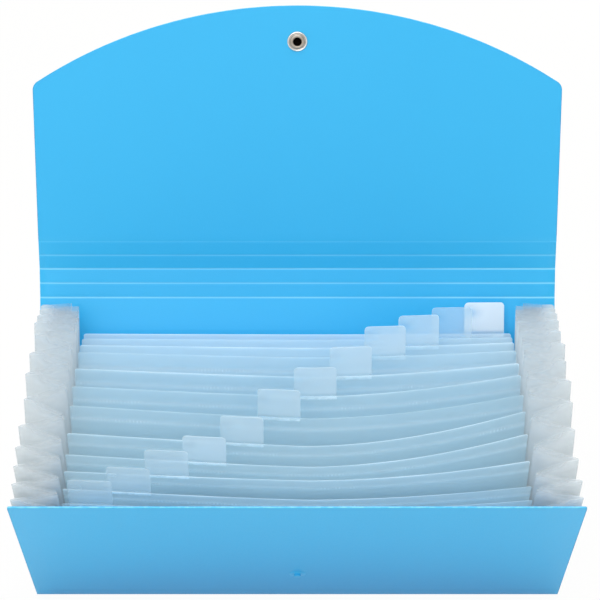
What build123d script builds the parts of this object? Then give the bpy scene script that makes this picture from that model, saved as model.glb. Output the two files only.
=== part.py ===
from build123d import *
from math import cos, radians, sin, sqrt
from typing import NamedTuple
import os

os.makedirs("parts", exist_ok=True)

# Expanding file folder, standing open on its base. Millimetres, +Z up, front towards -Y.
# The origin is on the floor, under the middle of the base.

# Cover: one plastic sheet, scored so that it folds into a base, two panels and a flap
COVER_WIDTH = 260.0
SHEET = 0.9
BASE_DEPTH = 26.0
BACK_HEIGHT = 139.0
FRONT_DROP = 1.0
PANEL_CORNER = 1.5
CREASE_GAP = 0.15
CREASE_WEB = 0.2

# Flap: narrow strips between score lines, then a sheet with an arched top edge
FLAP_SIDE = 80.8
FLAP_TIP = 120.4
FLAP_CORNER = 5.0

# How far the cover is open: leans from the vertical and bends at the flap's creases, in degrees
FRONT_LEAN_ANGLE = 46.0
BACK_LEAN_ANGLE = 16.7
OPEN_BEND_ANGLES = (5.7, 1.0, 12.0, 0.0, -3.6)
CLOSED_BEND_ANGLES = (76.0, 8.0, 14.0, 8.0, 74.0)

# Pockets: where each divider stands in the fan, from the front panel (0) to the back panel (1)
FAN_SHARES = (0.043, 0.086, 0.129, 0.182, 0.254, 0.345, 0.447, 0.555, 0.665, 0.770, 0.860, 0.935)

# Dividers and the pleated film under them
DIVIDER_FILM = 0.3
DIVIDER_CORNER = 3.0
FLOOR_FILM = 0.25
FLOOR_PLEAT = 0.55
FOOT_CLEARANCE = 0.3

# Gussets: pleated film that closes both sides of the pockets
GUSSET_FILM = 0.25
GUSSET_DEPTH = 21.5
GUSSET_INSET = 1.0
GUSSET_DROP = 3.0
GUSSET_FOOT = 3.0
GUSSET_FLANGE = 8.0
GUSSET_SEAM = 0.2
FOLD_CLEARANCE = 0.1

# Index tabs, one on each divider, stepped across the folder
TAB_SHEET = 0.5
TAB_WIDTH = 20.0
TAB_RISE = 15.8
TAB_LAP = 4.0
TAB_CORNER = 2.0
TAB_EDGE = 3.5
TAB_HEADROOM = 1.1
TAB_SEAM = 0.05
TAB_UPRIGHT_SHARE = 0.5

# Snap fastener: socket and cap on the flap, stud and rivet on the front panel
SNAP_INSET = 17.8
SNAP_CLEARANCE = 0.38
SOCKET_FLANGE_RADIUS = 4.9
SOCKET_FLANGE = 0.5
SOCKET_DOME_RADIUS = 3.5
SOCKET_HEIGHT = 1.3
SOCKET_BORE = 2.05
SOCKET_ROUND = 0.35
CAP_RADIUS = 5.5
CAP_HEIGHT = 0.9
CAP_ROUND = 0.6
POST_RADIUS = 1.8
POST_BORE = 1.3
STUD_BASE_RADIUS = 4.2
STUD_BASE = 0.4
STUD_KNOB_CLEARANCE = 0.3
STUD_TIP_CLEARANCE = 0.45
STUD_ROUND = 0.3
STUD_SEAT = 0.25
RIVET_HEAD_RADIUS = 4.2
RIVET_HEAD = 0.5
RIVET_RADIUS = 1.2
RIVET_ROUND = 0.2
HOLE_CLEARANCE = 0.05


class Leaf(NamedTuple):
    """A sheet on a hinge line across the folder: the line's place, and the sheet's lean to the back."""

    y: float
    z: float
    lean: float

    def point(self, rise):
        """Return the place (y, z) at a height up the sheet."""
        tilt = radians(self.lean)
        return self.y + rise * sin(tilt), self.z + rise * cos(tilt)

    def plane(self):
        """Return the sheet's own plane: local X across, local Y up the sheet, local Z to the front."""
        tilt = radians(self.lean)
        return Plane(origin=(0, self.y, self.z), x_dir=(1, 0, 0), z_dir=(0, -cos(tilt), sin(tilt)))

    def section(self, rise):
        """Return the plane across the sheet at a height up it: local X across, local Y to the front."""
        tilt = radians(self.lean)
        return Plane(origin=(0, *self.point(rise)), x_dir=(1, 0, 0), z_dir=(0, -sin(tilt), -cos(tilt)))

    def profile(self, x):
        """Return the plane along the sheet at a place across it: local X to the front, local Y up."""
        tilt = radians(self.lean)
        return Plane(origin=(x, self.y, self.z), x_dir=(0, -cos(tilt), sin(tilt)), z_dir=(-1, 0, 0))

    def fold_offset(self, neighbour, rise):
        """Return the distance from this sheet to the fold half way to its neighbour, at a height."""
        tilt = radians(self.lean)
        middle = Leaf(*((mine + theirs) / 2 for mine, theirs in zip(self, neighbour)))
        fold_y, fold_z = middle.point(rise)
        return abs((fold_z - self.z) * sin(tilt) - (fold_y - self.y) * cos(tilt))


# Sizes that follow from the ones above
half_width = COVER_WIDTH / 2
front_height = BACK_HEIGHT - FRONT_DROP
bevel = (SHEET - CREASE_WEB) / 2

closed_turns = [sum(CLOSED_BEND_ANGLES[: count + 1]) for count in range(len(CLOSED_BEND_ANGLES) - 1)]
snap_rise = FLAP_TIP - SNAP_INSET
snap_gap = SOCKET_HEIGHT + STUD_BASE + SNAP_CLEARANCE
strip_width = (BASE_DEPTH + SHEET + snap_gap) / sum(sin(radians(turn)) for turn in closed_turns)
closed_top = BACK_HEIGHT + strip_width * sum(cos(radians(turn)) for turn in closed_turns)
stud_rise = closed_top - snap_rise
stud_height = snap_gap - STUD_TIP_CLEARANCE

front = Leaf(-BASE_DEPTH / 2, SHEET / 2, -FRONT_LEAN_ANGLE)
back = Leaf(BASE_DEPTH / 2, SHEET / 2, BACK_LEAN_ANGLE)

pitch = BASE_DEPTH / (len(FAN_SHARES) + 1)
foot_z = SHEET + FLOOR_PLEAT + FLOOR_FILM + FOOT_CLEARANCE
fan_angle = FRONT_LEAN_ANGLE + BACK_LEAN_ANGLE
dividers = [
    Leaf(front.y + pitch * place, foot_z, fan_angle * share - FRONT_LEAN_ANGLE)
    for place, share in enumerate(FAN_SHARES, start=1)
]
fan = [front, *dividers, back]
rim_z = back.z + BACK_HEIGHT
divider_height = rim_z - TAB_HEADROOM - TAB_RISE - foot_z

fold_x = half_width - GUSSET_INSET - GUSSET_DEPTH
divider_width = (fold_x - GUSSET_SEAM) * 2
tab_spread = divider_width - TAB_WIDTH - TAB_EDGE * 2


def scored_strip(height):
    """Draw a full-width strip between two score lines."""
    with BuildSketch(mode=Mode.PRIVATE) as outline:
        with Locations((0, height / 2)):
            Rectangle(COVER_WIDTH, height - CREASE_GAP * 2)
    return outline.sketch


def ruled_prism(lower, upper):
    """Return the solid between two outlines of equal corner counts, with a ruled face on each side."""
    ends = [Face(Wire.make_polygon(outline)) for outline in (lower, upper)]
    sides = []
    for place in range(len(lower)):
        low_edge = Edge.make_line(lower[place - 1], lower[place])
        high_edge = Edge.make_line(upper[place - 1], upper[place])
        sides.append(Face.make_surface_from_curves(low_edge, high_edge))
    return Solid(Shell(ends + sides))


def finish(piece, name):
    """Label a finished piece and write its file."""
    piece.part.label = name
    export_step(piece.part, f"parts/{name}.step")


# Cover: base, front panel and back panel
with BuildPart() as base_spine:
    with BuildSketch(Plane.XY):
        Rectangle(COVER_WIDTH, BASE_DEPTH - CREASE_GAP * 2)
    extrude(amount=SHEET)
    chamfer(base_spine.edges().filter_by(Axis.X), bevel)
finish(base_spine, "base_spine")

with BuildPart() as front_panel:
    with BuildSketch(front.plane()) as front_outline:
        with Locations((0, (front_height + CREASE_GAP) / 2)):
            Rectangle(COVER_WIDTH, front_height - CREASE_GAP)
        fillet(front_outline.vertices().group_by(Axis.Y)[-1], PANEL_CORNER)
        with Locations((0, stud_rise)):
            Circle(RIVET_RADIUS + HOLE_CLEARANCE, mode=Mode.SUBTRACT)
    extrude(amount=SHEET / 2, both=True)
    chamfer(front_panel.edges().filter_by(Axis.X).sort_by_distance((0, front.y, front.z))[:2], bevel)
finish(front_panel, "front_panel")

with BuildPart() as back_panel:
    with BuildSketch(back.plane()):
        add(scored_strip(BACK_HEIGHT))
    extrude(amount=SHEET / 2, both=True)
    chamfer(back_panel.edges().filter_by(Axis.X), bevel)
finish(back_panel, "back_panel")

# Flap: each strip stands on the crease at the top of the one below
below, rise = back, BACK_HEIGHT
for number, bend in enumerate(OPEN_BEND_ANGLES[:-1], start=1):
    strip = Leaf(*below.point(rise), below.lean - bend)
    with BuildPart() as flap_strip:
        with BuildSketch(strip.plane()):
            add(scored_strip(strip_width))
        extrude(amount=SHEET / 2, both=True)
        chamfer(flap_strip.edges().filter_by(Axis.X), bevel)
    finish(flap_strip, f"flap_strip_{number}")
    below, rise = strip, strip_width

lid = Leaf(*below.point(rise), below.lean - OPEN_BEND_ANGLES[-1])
with BuildPart() as flap:
    with BuildSketch(lid.plane()) as flap_outline:
        with BuildLine():
            ThreePointArc((-half_width, FLAP_SIDE), (0, FLAP_TIP), (half_width, FLAP_SIDE))
            Polyline(
                (half_width, FLAP_SIDE),
                (half_width, CREASE_GAP),
                (-half_width, CREASE_GAP),
                (-half_width, FLAP_SIDE),
            )
        make_face()
        fillet(flap_outline.vertices().group_by(Axis.Y)[-1], FLAP_CORNER)
        with Locations((0, snap_rise)):
            Circle(POST_RADIUS + HOLE_CLEARANCE, mode=Mode.SUBTRACT)
    extrude(amount=SHEET / 2, both=True)
    chamfer(flap.edges().filter_by(Axis.X).sort_by_distance((0, lid.y, lid.z))[:2], bevel)
finish(flap, "flap")

# Snap on the flap: a ring inside, held by the hollow post of a cap outside
with BuildPart() as snap_socket:
    with BuildSketch(lid.plane().offset(SHEET / 2)):
        with Locations((0, snap_rise)):
            Circle(SOCKET_FLANGE_RADIUS)
            Circle(SOCKET_BORE, mode=Mode.SUBTRACT)
    extrude(amount=SOCKET_FLANGE)
    with BuildSketch(lid.plane().offset(SHEET / 2)):
        with Locations((0, snap_rise)):
            Circle(SOCKET_DOME_RADIUS)
            Circle(SOCKET_BORE, mode=Mode.SUBTRACT)
    extrude(amount=SOCKET_HEIGHT)
    rims = snap_socket.edges().filter_by(GeomType.CIRCLE)
    fillet(rims.filter_by(lambda rim: rim.radius > SOCKET_BORE).group_by(Axis.Y)[0], SOCKET_ROUND)
finish(snap_socket, "snap_socket")

with BuildPart() as snap_cap:
    with BuildSketch(lid.plane().offset(-SHEET / 2)):
        with Locations((0, snap_rise)):
            Circle(CAP_RADIUS)
    extrude(amount=-CAP_HEIGHT)
    fillet(snap_cap.edges().group_by(Axis.Y)[-1], CAP_ROUND)
    with BuildSketch(lid.plane().offset(-SHEET / 2)):
        with Locations((0, snap_rise)):
            Circle(POST_RADIUS)
            Circle(POST_BORE, mode=Mode.SUBTRACT)
    extrude(amount=SHEET)
finish(snap_cap, "snap_cap")

# Snap on the front panel: a low stud outside, held by a rivet from inside
with BuildPart() as snap_stud:
    with BuildSketch(front.plane().offset(SHEET / 2)):
        with Locations((0, stud_rise)):
            Circle(STUD_BASE_RADIUS)
    extrude(amount=STUD_BASE)
    with BuildSketch(front.plane().offset(SHEET / 2)):
        with Locations((0, stud_rise)):
            Circle(SOCKET_BORE - STUD_KNOB_CLEARANCE)
    extrude(amount=stud_height)
    fillet(snap_stud.edges().group_by(Axis.Y)[0], STUD_ROUND)
    with BuildSketch(front.plane().offset(SHEET / 2)):
        with Locations((0, stud_rise)):
            Circle(RIVET_RADIUS + HOLE_CLEARANCE)
    extrude(amount=STUD_SEAT + HOLE_CLEARANCE, mode=Mode.SUBTRACT)
finish(snap_stud, "snap_stud")

with BuildPart() as stud_rivet:
    with BuildSketch(front.plane().offset(-SHEET / 2)):
        with Locations((0, stud_rise)):
            Circle(RIVET_HEAD_RADIUS)
    extrude(amount=-RIVET_HEAD)
    fillet(stud_rivet.edges().group_by(Axis.Y)[-1], RIVET_ROUND)
    with BuildSketch(front.plane().offset(-SHEET / 2)):
        with Locations((0, stud_rise)):
            Circle(RIVET_RADIUS)
    extrude(amount=SHEET + STUD_SEAT)
finish(stud_rivet, "stud_rivet")

# Pleated film under the pockets: a ridge under every divider
ridges = [(leaf.y, SHEET + FLOOR_PLEAT) for leaf in dividers]
valleys = [((ahead.y + behind.y) / 2, SHEET) for ahead, behind in zip(fan, fan[1:])]
underside = sorted(ridges + valleys)
topside = [(y, z + FLOOR_FILM) for y, z in reversed(underside)]
with BuildPart() as floor_film:
    with BuildSketch(Plane.YZ):
        with BuildLine():
            Polyline(*underside, *topside, close=True)
        make_face()
    extrude(amount=divider_width / 2, both=True)
finish(floor_film, "floor_film")

# Dividers with their tabs and gussets, counted from the front
for number, leaf in enumerate(dividers, start=1):
    with BuildPart() as divider:
        with BuildSketch(leaf.plane()) as divider_outline:
            with Locations((0, divider_height / 2)):
                Rectangle(divider_width, divider_height)
            fillet(divider_outline.vertices().group_by(Axis.Y)[-1], DIVIDER_CORNER)
        extrude(amount=DIVIDER_FILM / 2, both=True)
    finish(divider, f"divider_{number:02d}")

    # The tab is welded to the back of the divider and bends towards the upright above it
    tab_x = tab_spread * ((number - 1) / (len(dividers) - 1) - 1 / 2)
    tab_face = -DIVIDER_FILM / 2 - TAB_SEAM
    tab_turn = radians(-leaf.lean * TAB_UPRIGHT_SHARE)
    tip_x = tab_face - TAB_RISE * sin(tab_turn)
    tip_y = divider_height + TAB_RISE * cos(tab_turn)
    with BuildPart() as tab:
        with BuildSketch(leaf.profile(tab_x)):
            with BuildLine():
                Polyline(
                    (tab_face, divider_height - TAB_LAP),
                    (tab_face, divider_height),
                    (tip_x, tip_y),
                    (tip_x - TAB_SHEET * cos(tab_turn), tip_y - TAB_SHEET * sin(tab_turn)),
                    (tab_face - TAB_SHEET, divider_height),
                    (tab_face - TAB_SHEET, divider_height - TAB_LAP),
                    close=True,
                )
            make_face()
        extrude(amount=TAB_WIDTH / 2, both=True)
        short_edges = tab.edges().filter_by(lambda edge: edge.length < TAB_SHEET * 2)
        fillet(short_edges.group_by(Axis.Z)[-1], TAB_CORNER)
    finish(tab, f"tab_{number:02d}")

    # The gusset is a V on each side: its inner fold is on the divider, its outer folds half way out
    sections = []
    for height in (GUSSET_FOOT, rim_z - GUSSET_DROP - leaf.z):
        ahead = leaf.fold_offset(fan[number - 1], height) - FOLD_CLEARANCE
        behind = leaf.fold_offset(fan[number + 1], height) - FOLD_CLEARANCE
        edge_x = fold_x + sqrt(GUSSET_DEPTH**2 - ((ahead + behind) / 2) ** 2)
        corners = (
            (fold_x, GUSSET_FILM),
            (edge_x, ahead),
            (edge_x, ahead - GUSSET_FILM),
            (fold_x + GUSSET_FILM, 0),
            (edge_x, GUSSET_FILM - behind),
            (edge_x, -behind),
            (fold_x, -GUSSET_FILM),
        )
        sections.append([leaf.section(height).from_local_coords(corner) for corner in corners])
    with BuildPart() as gusset:
        add(ruled_prism(*sections))
        mirror(about=Plane.YZ)
    finish(gusset, f"gusset_{number:02d}")

# Half gussets, welded to the inside of the front and back panels
half_gussets = (("front_gusset", front, dividers[0], -1), ("back_gusset", back, dividers[-1], 1))
face = SHEET / 2
for name, leaf, neighbour, side in half_gussets:
    sections = []
    for height in (GUSSET_FOOT, BACK_HEIGHT - GUSSET_DROP):
        fold = leaf.fold_offset(neighbour, height) - FOLD_CLEARANCE
        edge_x = fold_x + sqrt(GUSSET_DEPTH**2 - fold**2)
        corners = (
            (fold_x - GUSSET_FLANGE, side * face),
            (fold_x, side * face),
            (edge_x, side * (fold - GUSSET_FILM)),
            (edge_x, side * fold),
            (fold_x, side * (face + GUSSET_FILM)),
            (fold_x - GUSSET_FLANGE, side * (face + GUSSET_FILM)),
        )
        sections.append([leaf.section(height).from_local_coords(corner) for corner in corners])
    with BuildPart() as half_gusset:
        add(ruled_prism(*sections))
        mirror(about=Plane.YZ)
    finish(half_gusset, name)
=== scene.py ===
"""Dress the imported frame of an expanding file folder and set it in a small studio.

Sizes are in millimetres and angles in degrees until a surface becomes a mesh, which is in metres.
A lean is an angle from the upright, positive towards the back of the folder.
"""
from __future__ import annotations

import logging
from dataclasses import dataclass, field
from enum import Enum
from math import cos, radians, sin, sqrt

import bpy
import numpy as np
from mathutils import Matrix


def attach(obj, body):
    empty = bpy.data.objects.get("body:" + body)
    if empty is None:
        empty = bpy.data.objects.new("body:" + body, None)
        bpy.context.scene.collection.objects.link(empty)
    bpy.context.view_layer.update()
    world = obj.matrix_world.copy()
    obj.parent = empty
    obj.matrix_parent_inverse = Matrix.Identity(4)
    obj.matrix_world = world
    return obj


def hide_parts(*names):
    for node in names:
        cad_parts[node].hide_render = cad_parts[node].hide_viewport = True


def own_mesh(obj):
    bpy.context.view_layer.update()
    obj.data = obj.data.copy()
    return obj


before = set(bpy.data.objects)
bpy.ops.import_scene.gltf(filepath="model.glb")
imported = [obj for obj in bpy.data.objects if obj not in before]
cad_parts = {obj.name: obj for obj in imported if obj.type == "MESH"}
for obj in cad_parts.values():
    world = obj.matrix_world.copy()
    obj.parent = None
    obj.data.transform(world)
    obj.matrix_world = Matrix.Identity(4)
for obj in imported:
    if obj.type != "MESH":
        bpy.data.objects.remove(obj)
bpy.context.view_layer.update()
LOG = logging.getLogger("folder")
MM = 0.001
RIM_ANGLES = (45.0, 90.0, 135.0)
WHITE = (1.0, 1.0, 1.0, 1.0)
BLACK = (0.0, 0.0, 0.0, 1.0)
Array = np.ndarray
Triple = tuple[float, float, float]
Colour = Triple
Stops = list[tuple[float, float]]


class Side(Enum):
    """The two sides of the folder, as the sign of X."""

    LEFT = -1
    RIGHT = 1


class FilmUse(Enum):
    """What a film is for, which sets the name of its finish."""

    DIVIDER = "divider_film"
    GUSSET = "gusset_film"
    TAB = "tab_film"


# Meshes


@dataclass
class Surface:
    """A closed mesh as arrays, before it becomes an object."""

    points: Array
    faces: list[tuple[int, ...]]
    values: dict[str, Array] = field(default_factory=dict)

    def joined(self, other: Surface) -> Surface:
        """Put two surfaces into one mesh.

        Args:
            other: The surface whose points follow this one's.

        Returns:
            One surface with both sets of points, faces and values.
        """
        shift = len(self.points)
        faces = self.faces + [tuple(place + shift for place in face) for face in other.faces]
        values = {name: np.concatenate([self.values[name], other.values[name]]) for name in self.values}
        return Surface(np.concatenate([self.points, other.points]), faces, values)


def unit(vectors: Array) -> Array:
    """Return vectors of length one along the last axis."""
    return vectors / np.maximum(np.linalg.norm(vectors, axis=-1, keepdims=True), 1e-12)


def eased(share: Array) -> Array:
    """Return a share held between 0 and 1 and eased at both ends, as 3 s^2 - 2 s^3."""
    held = np.clip(share, 0.0, 1.0)
    return held * held * (3.0 - 2.0 * held)


def corner_drop(across: Array, half: float, corner: float) -> Array:
    """Work out how far a sheet's upper edge drops in its rounded corners.

    The drop is corner - sqrt(corner^2 - distance into the corner^2), and 0 between the corners.

    Args:
        across: Places across the sheet.
        half: Half the sheet's width.
        corner: Radius of the corners.

    Returns:
        The drop at each place.
    """
    past = np.maximum(np.abs(across) - half + corner, 0.0)
    return corner - np.sqrt(np.maximum(corner**2 - past**2, 0.0))


def rim_loop(columns: int, rows: int) -> tuple[Array, Array]:
    """Walk once round the border of a grid, anticlockwise seen from its front.

    Args:
        columns: Count of grid points across.
        rows: Count of grid points up.

    Returns:
        The column and the row of each border point, in order.
    """
    across = np.arange(columns)
    up = np.arange(rows)
    right, top = columns - 1, rows - 1
    column = np.concatenate([across[:-1], np.full(top, right), across[:0:-1], np.zeros(top, dtype=int)])
    row = np.concatenate([np.zeros(right, dtype=int), up[:-1], np.full(right, top), up[:0:-1]])
    return column, row


def grid_faces(first: Array, flip: bool = False) -> list[tuple[int, ...]]:
    """List the quads of a grid of point numbers.

    Args:
        first: Point numbers, columns by rows.
        flip: Whether the faces look the other way.

    Returns:
        One tuple of four point numbers for each cell.
    """
    quads = np.stack([first[:-1, :-1], first[1:, :-1], first[1:, 1:], first[:-1, 1:]], axis=-1).reshape(-1, 4)
    if flip:
        quads = quads[:, ::-1]
    return [tuple(quad) for quad in quads.tolist()]


def thick_sheet(
    middle: Array, thickness: Array, bulge: float, values: dict[str, Array], free: Array | float = 1.0
) -> Surface:
    """Give a sheet its thickness and a rounded rim.

    The two faces are the middle surface moved half the thickness along its normal, which is the
    cross product of its two grid directions. The rim joins them by three rows on a half ellipse:
    at each of three even angles a row lies bulge * sin(angle) outwards and half the thickness *
    cos(angle) along the normal.

    Args:
        middle: Points of the middle surface, columns by rows by three.
        thickness: Thickness at each grid point.
        bulge: How far the rounded rim stands out, taken off the sheet's outline first.
        values: Named numbers at each grid point, carried to both faces and the rim.
        free: How much the rim shines: 1 at a plain free edge, 0 for no shine.

    Returns:
        The closed sheet, with the value "edge" that is free on its rim and 0 inside.
    """
    columns, rows = middle.shape[:2]
    normal = unit(np.cross(np.gradient(middle, axis=0), np.gradient(middle, axis=1)))
    column, row = rim_loop(columns, rows)
    border = middle[column, row]
    ahead = unit(np.roll(border, -1, axis=0) - border)
    behind = unit(border - np.roll(border, 1, axis=0))
    outward = unit(np.cross(unit(ahead + behind), normal[column, row]))
    middle = middle.copy()
    middle[column, row] = border - outward * bulge
    half = thickness[..., None] / 2
    angles = np.radians(RIM_ANGLES)[:, None, None]
    rim = (
        middle[column, row]
        + outward * bulge * np.sin(angles)
        + normal[column, row] * half[column, row] * np.cos(angles)
    )
    count = columns * rows
    rim_rows = len(RIM_ANGLES)
    numbers = np.arange(count).reshape(columns, rows)
    border_numbers = numbers[column, row]
    rim_numbers = 2 * count + np.arange(rim_rows * len(column)).reshape(rim_rows, -1)
    belt = np.stack([border_numbers + count, *rim_numbers[::-1], border_numbers])
    belt = np.concatenate([belt, belt[:, :1]], axis=1)
    faces = grid_faces(numbers) + grid_faces(numbers + count, flip=True) + grid_faces(belt.T)
    layers = (middle + normal * half, middle - normal * half, rim)
    points = np.concatenate([layer.reshape(-1, 3) for layer in layers])
    carried = {
        name: np.concatenate([value.ravel(), value.ravel(), np.tile(value[column, row], rim_rows)])
        for name, value in values.items()
    }
    loose = np.broadcast_to(free, middle.shape[:2])[column, row]
    carried["edge"] = np.concatenate([np.zeros(2 * count), np.tile(loose, rim_rows)])
    return Surface(points, faces, carried)


def lathe(
    profile: Array, centre: Array, axis: Array, across: Array, values: dict[str, Array], turns: int = 64
) -> Surface:
    """Turn a profile round an axis, closed by a point where it ends on the axis.

    A point is centre + axis * height + radius * (cos(angle) * across + sin(angle) * third), where
    third is the cross product of axis and across.

    Args:
        profile: Rows of radius and height, from the axis on one side to the axis on the other.
        centre: Where radius and height are zero.
        axis: Direction of the height, of length one.
        across: A direction at right angles to the axis, of length one.
        values: Named numbers at each profile row.
        turns: Count of points round the axis.

    Returns:
        The closed surface.
    """
    angle = np.linspace(0.0, 2 * np.pi, turns, endpoint=False)
    spoke = np.cos(angle)[:, None] * across + np.sin(angle)[:, None] * np.cross(axis, across)
    ring = profile[1:-1]
    points = centre + spoke[:, None, :] * ring[None, :, :1] + axis * ring[None, :, 1:]
    numbers = np.arange(turns * len(ring)).reshape(turns, -1)
    wrapped = np.concatenate([numbers, numbers[:1]], axis=0)
    faces = grid_faces(wrapped, flip=True)
    first, last = numbers.size, numbers.size + 1
    faces += [(first, *pair) for pair in zip(wrapped[:-1, 0].tolist(), wrapped[1:, 0].tolist())]
    faces += [(last, *pair) for pair in zip(wrapped[1:, -1].tolist(), wrapped[:-1, -1].tolist())]
    poles = centre + profile[[0, -1], 1:] * axis
    carried = {
        name: np.concatenate([np.tile(value[1:-1], turns), value[[0, -1]]]) for name, value in values.items()
    }
    return Surface(np.concatenate([points.reshape(-1, 3), poles]), faces, carried)


@dataclass(frozen=True)
class Placement:
    """Where a piece belongs: the body that carries it, the nodes it stands for, and its finish."""

    body: str
    nodes: tuple[str, ...]
    slot: str


def place_piece(
    name: str, surface: Surface, material: bpy.types.Material, placement: Placement, sharp: float = 40.0
) -> bpy.types.Object:
    """Turn a surface into an object that rides on its body.

    Args:
        name: The piece's name.
        surface: The surface, in millimetres.
        material: Its material.
        placement: Its body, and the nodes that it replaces.
        sharp: Edges that turn by more than this many degrees are shaded sharp.

    Returns:
        The new object.
    """
    mesh = bpy.data.meshes.new(name)
    mesh.from_pydata((surface.points * MM).tolist(), [], surface.faces)
    for value_name, value in surface.values.items():
        attribute = mesh.attributes.new(value_name, "FLOAT", "POINT")
        attribute.data.foreach_set("value", value.astype(np.float32))
    mesh.polygons.foreach_set("use_smooth", np.ones(len(mesh.polygons), dtype=bool))
    mesh.set_sharp_from_angle(angle=radians(sharp))
    mesh.materials.append(material)
    mesh.update()
    piece = bpy.data.objects.new(name, mesh)
    bpy.context.scene.collection.objects.link(piece)
    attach(piece, placement.body)
    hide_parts(*placement.nodes)
    LOG.info("%s rides on %s: %d faces", name, placement.body, len(surface.faces))
    return piece


# Shaders


class Value:
    """A number socket that takes part in Python arithmetic, by way of Math nodes."""

    def __init__(self, graph: Graph, socket: bpy.types.NodeSocket) -> None:
        """Keep the socket and the graph that it belongs to."""
        self.graph = graph
        self.socket = socket

    def _math(self, operation: str, first: Value | float, second: Value | float) -> Value:
        """Add a Math node and return its result."""
        node = self.graph.node("ShaderNodeMath", {"operation": operation}, {0: first, 1: second})
        return Value(self.graph, node.outputs[0])

    def __add__(self, other: Value | float) -> Value:
        """Return self + other."""
        return self._math("ADD", self, other)

    def __radd__(self, other: float) -> Value:
        """Return other + self."""
        return self._math("ADD", other, self)

    def __sub__(self, other: Value | float) -> Value:
        """Return self - other."""
        return self._math("SUBTRACT", self, other)

    def __rsub__(self, other: float) -> Value:
        """Return other - self."""
        return self._math("SUBTRACT", other, self)

    def __mul__(self, other: Value | float) -> Value:
        """Return self * other."""
        return self._math("MULTIPLY", self, other)

    def __rmul__(self, other: float) -> Value:
        """Return other * self."""
        return self._math("MULTIPLY", other, self)

    def __lt__(self, other: Value | float) -> Value:
        """Return 1 where self is below other, else 0."""
        return self._math("LESS_THAN", self, other)

    def __abs__(self) -> Value:
        """Return the size of self."""
        return self._math("ABSOLUTE", self, 0.0)

    def __mod__(self, other: float) -> Value:
        """Return self modulo other, never below zero."""
        return self._math("FLOORED_MODULO", self, other)

    def capped(self, low: float = 0.0, high: float = 1.0) -> Value:
        """Return self held between two numbers."""
        return self._math("MINIMUM", self._math("MAXIMUM", self, low), high)


class Graph:
    """The node tree of one material or world."""

    def __init__(self, owner: bpy.types.Material | bpy.types.World) -> None:
        """Empty the owner's node tree and start it with an output.

        Args:
            owner: The material or world.
        """
        owner.use_nodes = True
        self.tree = owner.node_tree
        self.tree.nodes.clear()
        kind = "ShaderNodeOutputWorld" if isinstance(owner, bpy.types.World) else "ShaderNodeOutputMaterial"
        self.output = self.node(kind, {}, {})

    def node(self, kind: str, settings: dict[str, object], inputs: dict[str | int, object]) -> bpy.types.Node:
        """Add a node.

        Args:
            kind: The node's type.
            settings: Its properties, set before its sockets. "stops" gives a ramp's places and greys.
            inputs: Values, or sockets to link, by the name or number of its input.

        Returns:
            The new node.
        """
        node = self.tree.nodes.new(kind)
        for name, setting in settings.items():
            if name == "stops":
                self._set_stops(node, setting)
            else:
                setattr(node, name, setting)
        for key, given in inputs.items():
            if isinstance(given, Value):
                self.tree.links.new(given.socket, node.inputs[key])
            elif isinstance(given, bpy.types.NodeSocket):
                self.tree.links.new(given, node.inputs[key])
            else:
                node.inputs[key].default_value = given
        return node

    @staticmethod
    def _set_stops(node: bpy.types.Node, stops: Stops) -> None:
        """Give a colour ramp its grey stops.

        Args:
            node: The ramp's node.
            stops: Place and grey of each stop.
        """
        ramp = node.color_ramp.elements
        while len(ramp) < len(stops):
            ramp.new(1.0)
        for stop, (place, grey) in zip(ramp, stops):
            stop.position = place
            stop.color = (grey, grey, grey, 1.0)

    def attribute(self, name: str) -> Value:
        """Return a number that the mesh stores at its points, or 0 where it stores none."""
        node = self.node("ShaderNodeAttribute", {"attribute_name": name}, {})
        return Value(self, node.outputs["Fac"])

    def noise(self, scale: float, detail: float = 2.0, stretch: Triple = (1.0, 1.0, 1.0)) -> Value:
        """Return smooth noise from about 0 to 1, by the place on the object in metres.

        Args:
            scale: Lumps per metre.
            detail: Count of finer layers.
            stretch: Scale along each axis.

        Returns:
            The noise value.
        """
        spot = self.node("ShaderNodeTexCoord", {}, {}).outputs["Object"]
        place = self.node("ShaderNodeMapping", {}, {"Vector": spot, "Scale": stretch})
        inputs = {"Vector": place.outputs[0], "Scale": scale, "Detail": detail}
        return Value(self, self.node("ShaderNodeTexNoise", {}, inputs).outputs[0])

    def ramp(self, value: Value, stops: Stops) -> Value:
        """Return a value put through grey ramp stops."""
        node = self.node("ShaderNodeValToRGB", {"stops": stops}, {0: value})
        return Value(self, node.outputs[0])

    def blend(self, factor: Value | float, first: object, second: object) -> bpy.types.NodeSocket:
        """Mix two colours.

        Args:
            factor: Share of the second colour.
            first: The first colour, or its socket.
            second: The second colour, or its socket.

        Returns:
            The socket of the mixed colour.
        """
        settings = {"data_type": "RGBA", "clamp_factor": True}
        node = self.node("ShaderNodeMix", settings, {0: factor, 6: first, 7: second})
        return node.outputs[2]

    def bump(self, height: Value, strength: float, distance: float) -> bpy.types.NodeSocket:
        """Return a normal that is roughened by a height, of which 1 stands for distance in metres."""
        node = self.node("ShaderNodeBump", {}, {"Strength": strength, "Distance": distance, "Height": height})
        return node.outputs[0]

    def principled(self, inputs: dict[str | int, object]) -> bpy.types.Node:
        """Add the main shader with the given sockets."""
        return self.node("ShaderNodeBsdfPrincipled", {}, inputs)

    def mixed(self, share: Value | float, first: bpy.types.Node, second: bpy.types.Node) -> bpy.types.Node:
        """Mix two shaders by the share of the second."""
        return self.node("ShaderNodeMixShader", {}, {0: share, 1: first.outputs[0], 2: second.outputs[0]})

    def finish(self, shader: bpy.types.Node) -> None:
        """Link a shader to the output's surface."""
        self.tree.links.new(shader.outputs[0], self.output.inputs["Surface"])


def opaque(colour: Colour) -> tuple[float, float, float, float]:
    """Return a colour with full alpha."""
    return (*colour, 1.0)


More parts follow.
